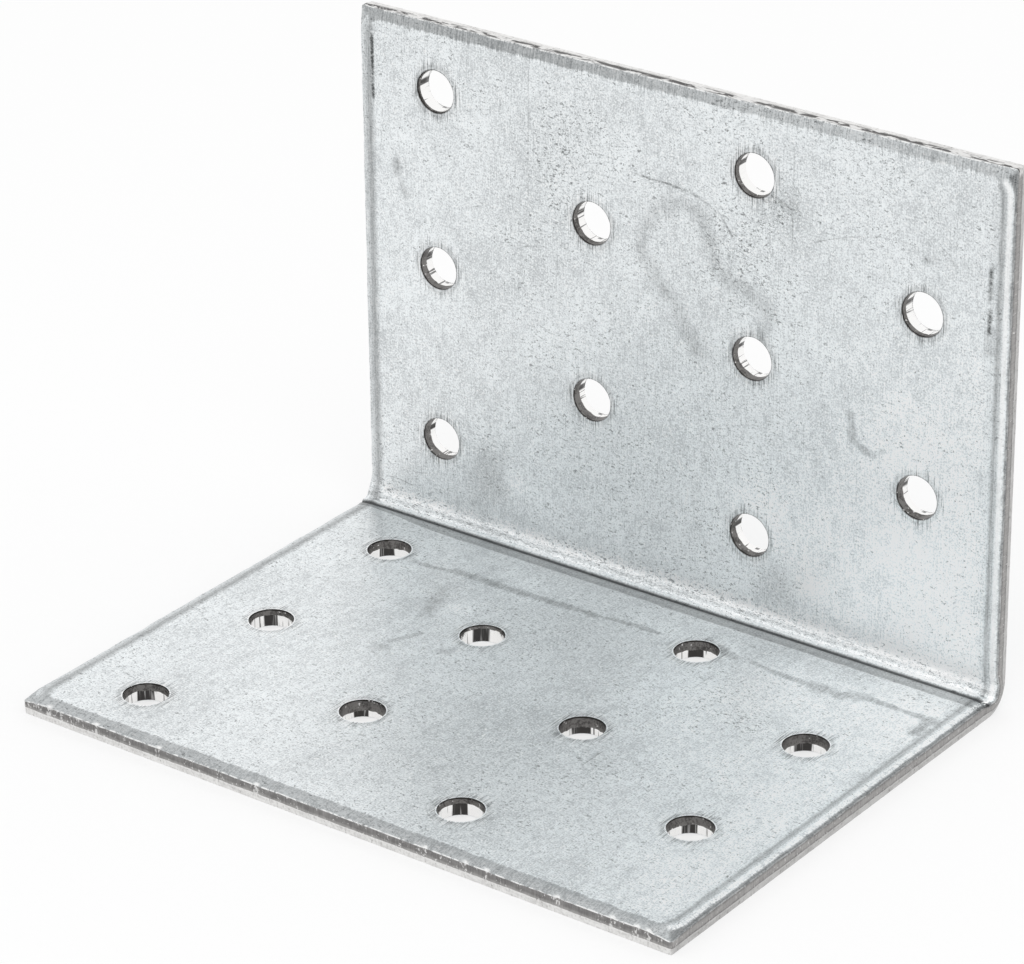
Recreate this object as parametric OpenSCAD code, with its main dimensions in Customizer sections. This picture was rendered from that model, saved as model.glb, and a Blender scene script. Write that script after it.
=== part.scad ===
/* [Plate] */
// Width of the plate, measured along the bend
plate_width = 80; // [50:1:200]
// Height of the upright leg, from the underside of the foot
upright_height = 59; // [35:1:150]
// Reach of the foot, from the back of the upright leg
foot_reach = 59; // [35:1:150]
// Thickness of the galvanised sheet
sheet = 2; // [1.6:0.1:3]

/* [Bend] */
// Radius on the inside of the bend
bend_radius = 1; // [0.6:0.1:3]
// How far the squeezed inside of the bend swells past each side
swell = 0.35; // [0.1:0.05:0.6]
// Reach of that swelling around the inside of the bend
swell_reach = 2; // [1.4:0.1:3]

/* [Hole pattern] */
// Distance from column to column, along the bend
column_pitch = 20; // [12:1:40]
// Distance from hole to hole in one column
row_pitch = 20; // [14:1:40]
// Least distance from a side of the plate to the middle of a hole
side_margin = 10; // [6:0.5:20]
// Distance from the end of a leg to the middle of its last hole
end_margin = 7.5; // [5:0.5:20]
// Least plain sheet between a hole and the bend
bend_margin = 3; // [1:0.5:10]

/* [Punched holes] */
// Diameter of a hole along its smooth land
hole_diameter = 4.5; // [3:0.1:8]
// Width of the ring that the punch draws in on the outer face
rim_roll_width = 0.3; // [0.1:0.05:0.6]
// Depth of that drawn-in ring
rim_roll_depth = 0.2; // [0.1:0.05:0.3]
// Height of the torn zone, up to the inner face
hole_tear_height = 0.8; // [0.3:0.1:1.2]
// How much wider than the land the torn zone opens, on each side
hole_tear_flare = 0.12; // [0.05:0.01:0.2]

/* [Sheared edges] */
// Width of the rolled shoulder where the inner face meets an edge
roll_width = 1.6; // [0.8:0.1:2.5]
// Depth of the rolled shoulder at the edge
roll_depth = 0.25; // [0.1:0.05:0.4]
// Radius that the shoulder's inner line turns at a corner of the plate
corner_turn = 1.5; // [0.5:0.1:4]
// Height of the torn zone, down to the outer face
edge_tear_height = 0.8; // [0.3:0.1:1.1]
// How far the torn zone draws back at the outer face
edge_tear_back = 0.1; // [0.05:0.01:0.3]

/* [Hidden] */
zinc_grey = [0.78, 0.80, 0.81];
// Cutting shapes run this far past the sheet
past = 1;
// Facets of a hole's circle, and of the wide arcs of bend and shoulders
hole_facets = 48;
arc_facets = 180;
quarter = 90;
half = 180;

// The origin lies under the middle of the footprint
heel_y = foot_reach / 2;
front_y = heel_y - foot_reach;
inner_y = heel_y - sheet;
half_width = plate_width / 2;

// The axis of the bend lies inside the corner, at these places
outer_bend_radius = bend_radius + sheet;
bend_y = heel_y - outer_bend_radius;
bend_z = outer_bend_radius;

// Arcs that leave a face smoothly and sink by a depth over a width
function arc_radius(width, depth) = (width * width + depth * depth) / (2 * depth);
roll_radius = arc_radius(roll_width, roll_depth);
rim_roll_radius = arc_radius(rim_roll_width, rim_roll_depth);
swell_radius = arc_radius(swell_reach, swell);

// Every second column of holes sits half a pitch nearer to the bend
hole_radius = hole_diameter / 2;
columns = 1 + floor((plate_width - 2 * side_margin) / column_pitch);
first_column = -(columns - 1) * column_pitch / 2;
nearest_row = outer_bend_radius + bend_margin + hole_radius;
function stagger(column) = (column % 2) * row_pitch / 2;

// Distances of one column's holes from the heel, on a leg of this length
function column_rows(leg, column) =
    [for (row = leg - end_margin - stagger(column); row >= nearest_row; row = row - row_pitch) row];

// The plate's section, with Y across and Z up, and both sheared ends
module section() {
    difference() {
        bent_strip();
        translate([front_y, sheet])
            mirror([0, 1])
                edge_waste();
        translate([inner_y, upright_height])
            rotate(-quarter)
                edge_waste();
    }
}

// The section before its ends are sheared
module bent_strip() {
    translate([front_y, 0])
        square([bend_y - front_y, sheet]);
    translate([inner_y, bend_z])
        square([sheet, upright_height - bend_z]);
    intersection() {
        translate([bend_y, bend_z])
            difference() {
                circle(outer_bend_radius, $fn = arc_facets);
                circle(bend_radius, $fn = arc_facets);
            }
        translate([bend_y, 0])
            square(outer_bend_radius);
    }
}

// What shearing takes off an edge: X runs in from the edge, and Y runs into
// the sheet from its inner face
module edge_waste() {
    shoulder_waste(past);
    polygon([
        [-past, sheet - edge_tear_height],
        [0, sheet - edge_tear_height],
        [edge_tear_back, sheet],
        [edge_tear_back, sheet + past],
        [-past, sheet + past],
    ]);
}

// The rolled shoulder, with its depth kept on for this far outside the edge
module shoulder_waste(outside) {
    difference() {
        translate([-outside, -past])
            square([outside + roll_width, past + roll_depth]);
        translate([roll_width, roll_radius])
            circle(roll_radius, $fn = arc_facets);
    }
}

// What shearing takes off the left side: foot, bend and upright leg in turn
module side_waste() {
    translate([-half_width, front_y - past, sheet])
        rotate([-quarter, 0, 0])
            linear_extrude(past + bend_y - front_y)
                edge_waste();
    translate([-half_width, bend_y, bend_z])
        rotate([quarter, 0, quarter])
            rotate_extrude(angle = quarter, start = -quarter, $fn = arc_facets)
                bend_waste();
    translate([-half_width, inner_y, bend_z])
        linear_extrude(upright_height - bend_z + past)
            edge_waste();
}

// The side's waste around the bend: X is the distance from the bend's axis
module bend_waste() {
    intersection() {
        translate([bend_radius, 0])
            mirror([1, -1])
                edge_waste();
        translate([bend_radius / 2, -past])
            square([outer_bend_radius + past, roll_width + 2 * past]);
    }
}

// The shoulder where it turns round the left corner at each leg's end
module corner_waste() {
    turn_centre = roll_width + corner_turn;
    translate([turn_centre - half_width, front_y + turn_centre, sheet])
        rotate_extrude(angle = quarter, start = half, $fn = arc_facets)
            turned_shoulder(turn_centre);
    translate([turn_centre - half_width, inner_y, upright_height - turn_centre])
        rotate([quarter, 0, 0])
            rotate_extrude(angle = quarter, start = quarter, $fn = arc_facets)
                turned_shoulder(turn_centre);
}

module turned_shoulder(turn_centre) {
    translate([turn_centre, 0])
        rotate(half)
            shoulder_waste(turn_centre);
}

// Where the sheet is squeezed inside the bend, it swells out past the side
module side_swell() {
    intersection() {
        drawn_out(plate_width + 2 * swell)
            bent_strip();
        translate([swell_radius - swell - half_width, bend_y, bend_z])
            rotate([-quarter / 2, 0, 0])
                translate([0, bend_radius, 0])
                    sphere(swell_radius, $fn = arc_facets);
    }
}

// A section drawn out along the bend
module drawn_out(width) {
    rotate([quarter, 0, quarter])
        linear_extrude(width, center = true)
            children();
}

// The same thing on the left side and on the right one
module on_both_sides() {
    children();
    mirror([1, 0, 0])
        children();
}

// One hole, punched from the outer face at z = 0 through to the inner face
module punched_hole() {
    rotate_extrude($fn = hole_facets) {
        translate([0, -past])
            square([hole_radius, sheet + 2 * past]);
        difference() {
            translate([0, -past])
                square([hole_radius + rim_roll_width, past + rim_roll_depth]);
            translate([hole_radius + rim_roll_width, rim_roll_radius])
                circle(rim_roll_radius, $fn = hole_facets);
        }
        polygon([
            [0, sheet - hole_tear_height],
            [hole_radius, sheet - hole_tear_height],
            [hole_radius + hole_tear_flare, sheet],
            [hole_radius + hole_tear_flare, sheet + past],
            [0, sheet + past],
        ]);
    }
}

// The staggered holes of both legs
module hole_pattern() {
    for (column = [0 : columns - 1]) {
        x = first_column + column * column_pitch;
        for (row = column_rows(foot_reach, column))
            translate([x, heel_y - row, 0])
                punched_hole();
        for (row = column_rows(upright_height, column))
            translate([x, heel_y, row])
                rotate([quarter, 0, 0])
                    punched_hole();
    }
}

// The whole bracket: one sheared, punched and folded sheet
module bracket() {
    color(zinc_grey)
        difference() {
            union() {
                difference() {
                    drawn_out(plate_width)
                        section();
                    on_both_sides() {
                        side_waste();
                        corner_waste();
                    }
                }
                on_both_sides()
                    side_swell();
            }
            hole_pattern();
        }
}

bracket();
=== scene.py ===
"""Angle bracket: a sheared, punched and folded zinc-coated sheet, in its studio."""

import math

import bmesh
import bpy
import numpy as np
from bpy.props import FloatProperty, FloatVectorProperty, PointerProperty
from mathutils import Matrix, Vector, geometry, noise


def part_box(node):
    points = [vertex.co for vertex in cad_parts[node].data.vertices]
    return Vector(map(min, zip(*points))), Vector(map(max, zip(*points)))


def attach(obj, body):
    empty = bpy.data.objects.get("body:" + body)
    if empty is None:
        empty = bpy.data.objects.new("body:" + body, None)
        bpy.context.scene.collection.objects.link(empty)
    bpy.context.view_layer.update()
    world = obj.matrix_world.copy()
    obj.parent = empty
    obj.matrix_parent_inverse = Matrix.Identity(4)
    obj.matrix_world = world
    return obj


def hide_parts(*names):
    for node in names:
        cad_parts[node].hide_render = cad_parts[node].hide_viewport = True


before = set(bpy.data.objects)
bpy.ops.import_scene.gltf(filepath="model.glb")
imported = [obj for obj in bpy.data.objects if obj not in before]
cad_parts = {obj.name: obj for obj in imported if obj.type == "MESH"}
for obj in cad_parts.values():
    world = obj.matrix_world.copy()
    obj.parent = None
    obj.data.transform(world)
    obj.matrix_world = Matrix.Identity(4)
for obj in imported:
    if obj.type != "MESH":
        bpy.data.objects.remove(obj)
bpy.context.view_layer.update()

bl_info = {
    "name": "Angle Bracket",
    "version": (1, 0, 0),
    "blender": (4, 5, 0),
    "location": "View3D > Sidebar > Bracket",
    "description": "Builds a perforated zinc-coated angle bracket and a plain studio for it",
    "category": "Add Mesh",
}

# Lengths on the sheet are in millimetres, and Blender's are in metres
MM = 0.001
NODE = "bracket"
LOW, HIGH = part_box(NODE)

# How the sheet's surfaces are told apart
FACE, SHEARED, TORN, LAND, RAGGED = range(5)

# Where the mesh has its points, in millimetres
EDGE_STEP = 0.34
FACE_STEP = 1.05
BEND_STEP = 0.55
BEND_ROWS = 12
CREASE_ROWS = (-2.7, -2.3, -2.0, -1.6, -1.2, -0.98, -0.85, -0.7, -0.56, -0.43, -0.31, -0.2, -0.1)
ABOVE_BEND_ROWS = (0.35, 0.8, 1.4)
HOLE_POINTS = 64
STAIN_ROWS = (-1.2, -0.8, -0.4, 0.0, 0.4, 0.8, 1.2)
SCRATCH_ROWS = (-1.6, -0.8, 0.0, 0.8, 1.6)
MARK_STEP = 0.5
MARK_CLEARANCE = 0.45
SHOULDER_ROWS = (2.4, 2.0, 1.7, 1.4, 1.1, 0.85, 0.6, 0.4, 0.22, 0.1, 0.035)
UNDERSIDE_ROWS = (0.3, 0.8, 1.5, 2.4)
HOLE_RINGS = (1.45, 0.95, 0.6, 0.37, 0.22, 0.1)
HOLE_UNDER_RINGS = (0.55, 0.95, 1.45)
CORNER_GAPS = (0.07, 0.15, 0.24)

# Rows down each zone of an edge and of a hole, as shares of the zone's height
SHEARED_SHARES = (0, 0.12, 0.35, 0.65, 0.93, 1)
TORN_SHARES = (0.06, 0.25, 0.5, 0.75, 0.94, 1)
RAGGED_SHARES = (0.05, 0.25, 0.5, 0.75, 0.95)
LAND_SHARES = (0, 0.08, 0.5, 1)
RIM_SHARES = (0.25, 0.5, 0.75, 1)

# Faces that meet at more than this angle have a sharp edge between them
SHARP_ANGLE = math.radians(42)

# The corners' radius, and how far the shears drew down the corners and the very edge
CORNER_RADIUS = 0.42
CORNER_DROP = 0.2
RIM_DROP = 0.06

# Relief of the inner face: the white ridge, the holes' lips, shallow pits and scratches
RIDGE_RISE = 0.03
LIP_RISE = 0.022
PIT_DEPTH = 0.012
SCRATCH_DEPTH = 0.014

# Relief of the bend: the pressed band, the crease, the crest by it and the swollen fillet
PRESSED_DEPTH = 0.035
CREASE_DEPTH = 0.13
CREST_RISE = 0.05
FILLET_RISE = 0.15
FILLET_ROUGHNESS = 0.025

# Waves of the whole sheet, as (height, length, seed)
WAVES = ((0.018, 23, 3.1), (0.006, 7, 8.4))

# Height of the torn zone in each hole in turn, as a share of the usual one
TEAR_SHARES = (1.0, 0.75, 1.15, 0.38, 1.0, 1.15, 1.5, 0.42, 0.9, 1.1,
               0.75, 1.4, 1.15, 0.75, 0.95, 1.05, 1.1, 1.35, 0.65, 1.2)


class BRACKET_PG_sizes(bpy.types.PropertyGroup):
    """Sizes of the bracket, as the hand that made it would give them"""

    width: FloatProperty(
        name="Plate width", description="Width along the bend",
        default=0.08, min=0.04, max=0.3, unit="LENGTH")
    thickness: FloatProperty(
        name="Sheet", description="Thickness of the sheet",
        default=0.002, min=0.001, max=0.004, unit="LENGTH")
    bend_radius: FloatProperty(
        name="Bend radius", description="Radius on the inside of the bend",
        default=0.001, min=0.0005, max=0.004, unit="LENGTH")
    swell: FloatProperty(
        name="Swell", description="How far the squeezed inside of the bend stands past each side",
        default=0.00035, min=0.0, max=0.0006, unit="LENGTH")
    swell_reach: FloatProperty(
        name="Swell reach", description="How far that swelling reaches around the bend",
        default=0.002, min=0.001, max=0.003, unit="LENGTH")
    hole: FloatProperty(
        name="Hole", description="Diameter of a hole along its smooth land",
        default=0.0045, min=0.003, max=0.008, unit="LENGTH")
    hole_flare: FloatProperty(
        name="Hole flare", description="How much wider the torn end of a hole opens, on each side",
        default=0.00012, min=0.0, max=0.0003, unit="LENGTH")
    hole_tear: FloatProperty(
        name="Hole tear", description="Height of the torn zone in a hole",
        default=0.0008, min=0.0003, max=0.0012, unit="LENGTH")
    rim_width: FloatProperty(
        name="Rim width", description="Width of the ring that the punch draws in",
        default=0.0003, min=0.0001, max=0.0006, unit="LENGTH")
    rim_depth: FloatProperty(
        name="Rim depth", description="Depth of the ring that the punch draws in",
        default=0.0002, min=0.0001, max=0.0003, unit="LENGTH")
    pitch: FloatProperty(
        name="Hole pitch", description="Distance from column to column and from hole to hole",
        default=0.02, min=0.014, max=0.04, unit="LENGTH")
    side_margin: FloatProperty(
        name="Side margin", description="From a side of the plate to its first column of holes",
        default=0.01, min=0.006, max=0.02, unit="LENGTH")
    end_margin: FloatProperty(
        name="End margin", description="From the end of a leg to its last hole",
        default=0.0075, min=0.005, max=0.02, unit="LENGTH")
    bend_margin: FloatProperty(
        name="Bend margin", description="Least plain sheet between a hole and the bend",
        default=0.003, min=0.001, max=0.01, unit="LENGTH")
    roll_width: FloatProperty(
        name="Roll width", description="Width of the rolled shoulder along a sheared edge",
        default=0.0016, min=0.0008, max=0.0025, unit="LENGTH")
    roll_depth: FloatProperty(
        name="Roll depth", description="Depth of the rolled shoulder at the edge",
        default=0.00025, min=0.0001, max=0.0004, unit="LENGTH")
    corner_turn: FloatProperty(
        name="Corner turn", description="Radius that the shoulder turns at a corner",
        default=0.0015, min=0.0005, max=0.004, unit="LENGTH")
    edge_tear: FloatProperty(
        name="Edge tear", description="Height of the torn zone along a sheared edge",
        default=0.0008, min=0.0003, max=0.0011, unit="LENGTH")
    edge_tear_back: FloatProperty(
        name="Edge tear back", description="How far the torn zone draws back",
        default=0.0001, min=0.00005, max=0.0003, unit="LENGTH")


class BRACKET_PG_finish(bpy.types.PropertyGroup):
    """Colours of the zinc and of the bare cut steel"""

    zinc_light: FloatVectorProperty(
        name="Light zinc", description="Zinc where the rolled face is cleanest",
        default=(0.90, 0.937, 0.95), min=0, max=1, size=3, subtype="COLOR")
    zinc_dark: FloatVectorProperty(
        name="Dull zinc", description="Zinc where the face has dulled",
        default=(0.56, 0.586, 0.598), min=0, max=1, size=3, subtype="COLOR")
    # Also the painted highlight of the white ridge along the right side and of the broken white line along
    # each edge's rim
    white_zinc_and_highlight: FloatVectorProperty(
        name="White zinc", description="Fresh glints, bright scratches and the sheared ridge",
        default=(0.95, 0.955, 0.95), min=0, max=1, size=3, subtype="COLOR")
    grime: FloatVectorProperty(
        name="Grime", description="Dark specks and dark scratches",
        default=(0.10, 0.105, 0.105), min=0, max=1, size=3, subtype="COLOR")
    # Its dark tone is partly the bare steel's own and partly painted reflection
    sheared: FloatVectorProperty(
        name="Sheared steel", description="The smooth zone of a sheared edge, where it is darkest",
        default=(0.185, 0.18, 0.178), min=0, max=1, size=3, subtype="COLOR")
    rubbed: FloatVectorProperty(
        name="Rubbed steel", description="The smooth zone of a sheared edge, where it is lightest",
        default=(0.46, 0.45, 0.44), min=0, max=1, size=3, subtype="COLOR")
    torn: FloatVectorProperty(
        name="Torn steel", description="The torn zone of a sheared edge",
        default=(0.86, 0.855, 0.845), min=0, max=1, size=3, subtype="COLOR")
    land: FloatVectorProperty(
        name="Punched land", description="The polished zone of a hole",
        default=(0.95, 0.945, 0.935), min=0, max=1, size=3, subtype="COLOR")
    ragged: FloatVectorProperty(
        name="Torn hole", description="The torn zone of a hole",
        default=(0.25, 0.242, 0.235), min=0, max=1, size=3, subtype="COLOR")
    # The darkest steel marks, and also painted reflections: the dark panels in the holes' lands
    dark_steel_and_painted_reflection: FloatVectorProperty(
        name="Burnt steel", description="The darkest marks in holes and along sheared edges",
        default=(0.022, 0.02, 0.019), min=0, max=1, size=3, subtype="COLOR")


class BRACKET_PG_studio(bpy.types.PropertyGroup):
    """Floor, light and camera"""

    floor: FloatVectorProperty(
        name="Floor", description="Colour of the floor",
        default=(0.97, 0.97, 0.97), min=0, max=1, size=3, subtype="COLOR")
    azimuth: FloatProperty(
        name="Azimuth", description="How far the camera stands round to the right",
        default=math.radians(36.9), subtype="ANGLE")
    elevation: FloatProperty(
        name="Elevation", description="How far the camera looks down",
        default=math.radians(25.9), subtype="ANGLE")
    roll: FloatProperty(
        name="Roll", description="How far the camera leans",
        default=math.radians(-0.62), subtype="ANGLE")
    distance: FloatProperty(
        name="Distance", description="From the camera to the point that it looks at",
        default=0.4774, unit="LENGTH")
    target: FloatVectorProperty(
        name="Target", description="The point that the camera looks at",
        default=(-0.00952, 0.01276, 0.01792), size=3, subtype="TRANSLATION")
    lens: FloatProperty(
        name="Lens", description="Focal length in millimetres on a 36 mm wide sensor",
        default=163.54, min=20, max=300)


def smooth(value, start, stop):
    """Rises smoothly from 0 at start to 1 at stop."""
    t = np.clip((value - start) / (stop - start), 0, 1)
    return t * t * (3 - 2 * t)


def ripple(x, s, size, seed):
    """Smooth noise from about -1 to 1, with bumps of this size in millimetres."""
    return np.array([noise.noise((a / size, b / size, seed)) for a, b in zip(x, s)])


class FlatSheet:
    """The bracket laid flat: x runs along the bend, s across it from its start
    on the foot, and n into the sheet from the inner face."""

    def __init__(self, sizes):
        for name in sizes.__annotations__:
            setattr(self, name, getattr(sizes, name) / MM)
        self.half_width = self.width / 2
        self.outer_radius = self.bend_radius + self.thickness
        self.bend_y = HIGH.y / MM - self.outer_radius
        self.bend_z = LOW.z / MM + self.outer_radius
        self.bend_run = (self.bend_radius + self.thickness / 2) * math.pi / 2
        self.start = LOW.y / MM - self.bend_y
        self.end = self.bend_run + HIGH.z / MM - self.bend_z
        self.middle = (self.start + self.end) / 2
        self.half_run = (self.end - self.start) / 2
        self.roll_radius = arc_radius(self.roll_width, self.roll_depth)
        self.rim_radius = arc_radius(self.rim_width, self.rim_depth)
        self.swell_radius = arc_radius(self.swell_reach, self.swell)
        self.land_radius = self.hole / 2
        self.tear_line = self.thickness - self.edge_tear
        self.holes = np.array(self.hole_centres())

    def hole_centres(self):
        """The staggered holes of both legs, as places on the flat sheet."""
        columns = 1 + math.floor((self.width - 2 * self.side_margin) / self.pitch + MM)
        nearest = self.bend_margin + self.land_radius
        centres = []
        for column in range(columns):
            x = (column - (columns - 1) / 2) * self.pitch
            stagger = (column % 2) * self.pitch / 2
            row = self.end_margin + stagger
            while -self.start - row > nearest:
                centres.append((x, self.start + row))
                row += self.pitch
            row = self.end_margin + stagger
            while self.end - self.bend_run - row > nearest:
                centres.append((x, self.end - row))
                row += self.pitch
        return centres

    def place(self, x, s, n):
        """Folds places on the flat sheet up into the bracket, in metres."""
        turn = np.clip(s / self.bend_run, 0, 1) * math.pi / 2
        radius = self.bend_radius + n
        y = self.bend_y + radius * np.sin(turn) + np.minimum(s, 0)
        z = self.bend_z - radius * np.cos(turn) + np.maximum(s - self.bend_run, 0)
        slant = self.bend_radius * math.sqrt(0.5)
        off_y = y - self.bend_y - slant
        off_z = z - self.bend_z + slant
        reach = np.minimum(np.hypot(off_y, off_z), self.swell_reach)
        swelling = np.sqrt(self.swell_radius**2 - reach**2) - self.swell_radius + self.swell
        near_side = smooth(np.abs(x), self.half_width - 2 * self.roll_width, self.half_width)
        x = x + np.sign(x) * swelling * near_side
        return np.column_stack((x, y, z)) * MM

    def gaps(self, x, s):
        """Distances from the nearest side of the sheet and from its nearest end."""
        return self.half_width - np.abs(x), self.half_run - np.abs(s - self.middle)

    def edge_distance(self, x, s):
        """Distance from the sheared edge, turning round the corners."""
        side, end = self.gaps(x, s)
        turn = self.roll_width + self.corner_turn
        in_corner = (side < turn) & (end < turn)
        return np.where(in_corner, turn - np.hypot(turn - side, turn - end), np.minimum(side, end))

    def hole_distance(self, x, s):
        """Distance from the land of the nearest hole."""
        return np.hypot(*self.hole_offset(x, s)) - self.land_radius

    def hole_offset(self, x, s):
        """How far places lie from the centre of the nearest hole, each way."""
        away_x, away_s = x[:, None] - self.holes[:, 0], s[:, None] - self.holes[:, 1]
        rows = np.arange(len(x))
        nearest = np.hypot(away_x, away_s).argmin(1)
        return away_x[rows, nearest], away_s[rows, nearest]

    def waves(self, x, s):
        """How far the whole sheet bows towards its inner face."""
        return sum(height * (1 + ripple(x, s, length, seed)) for height, length, seed in WAVES)

    def rim_distance(self, x, s):
        """Distance from the nearest side or end of the sheet."""
        return np.minimum(*self.gaps(x, s))

    def inner_depth(self, x, s):
        """Depth of the inner face: shoulders, bend lines, hole lips, marks and waves."""
        edge = self.edge_distance(x, s)
        rim = self.rim_distance(x, s)
        width = self.roll_width * (1 + 0.13 * ripple(x, s, 3, 1.7))
        inward = np.clip(width - edge, 0, self.roll_width * 1.1)
        depth = self.roll_radius - np.sqrt(self.roll_radius**2 - inward**2)
        depth += RIM_DROP * np.clip(1 - rim / 0.14, 0, 1) ** 2
        corner = np.hypot(*self.gaps(x, s))
        depth += CORNER_DROP * smooth(corner, 2.0, 0.2)
        ridged = smooth(rim, 1.0, 0.7) * smooth(rim, 0.15, 0.4) * smooth(x, 38.6, 39.2)
        ridged = ridged * smooth(corner, 1.6, 2.6) * smooth(np.abs(s - 1), 1.5, 5)
        depth -= RIDGE_RISE * ridged * (1 + ripple(x, s, 0.55, 5.9))
        depth += self.bend_lines(x, s)
        depth -= LIP_RISE * smooth(self.hole_distance(x, s), 1.15, 0.1)
        depth += PIT_DEPTH * smooth(ripple(x, s, 1.6, 12.2), 0.25, 0.6)
        depth += SCRATCH_DEPTH * mark_weights(x, s)[:, SCRATCH]
        return depth - self.waves(x, s)

    def bend_lines(self, x, s):
        """The pressed band and the crease along the bend, and its rough fillet."""
        pressed = smooth(s, -2.4 + 0.12 * ripple(x, s, 4, 2.2), -2.1) * smooth(s, 0.0, -0.25)
        crease = np.clip(1 - ((s + 0.56) / 0.31) ** 2, 0, 1)
        crest = CREST_RISE * np.clip(1 - ((s - 0.05) / 0.36) ** 2, 0, 1)
        crest = crest + FILLET_RISE * smooth(s, 0.9, 2.4) * smooth(s, 3.9, 2.5)
        fillet = smooth(s, -0.1, 0.3) * smooth(s, self.bend_run + 0.9, self.bend_run)
        rough = FILLET_ROUGHNESS * fillet * ripple(x, s, 0.8, 6.6)
        return PRESSED_DEPTH * pressed + CREASE_DEPTH * crease - crest + rough

    def outer_depth(self, x, s):
        """Depth of the outer face, which bows with the inner one."""
        return self.thickness - self.waves(x, s)


def arc_radius(width, depth):
    """Radius of an arc that leaves a face smoothly and sinks by depth over width."""
    return (width * width + depth * depth) / (2 * depth)


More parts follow.
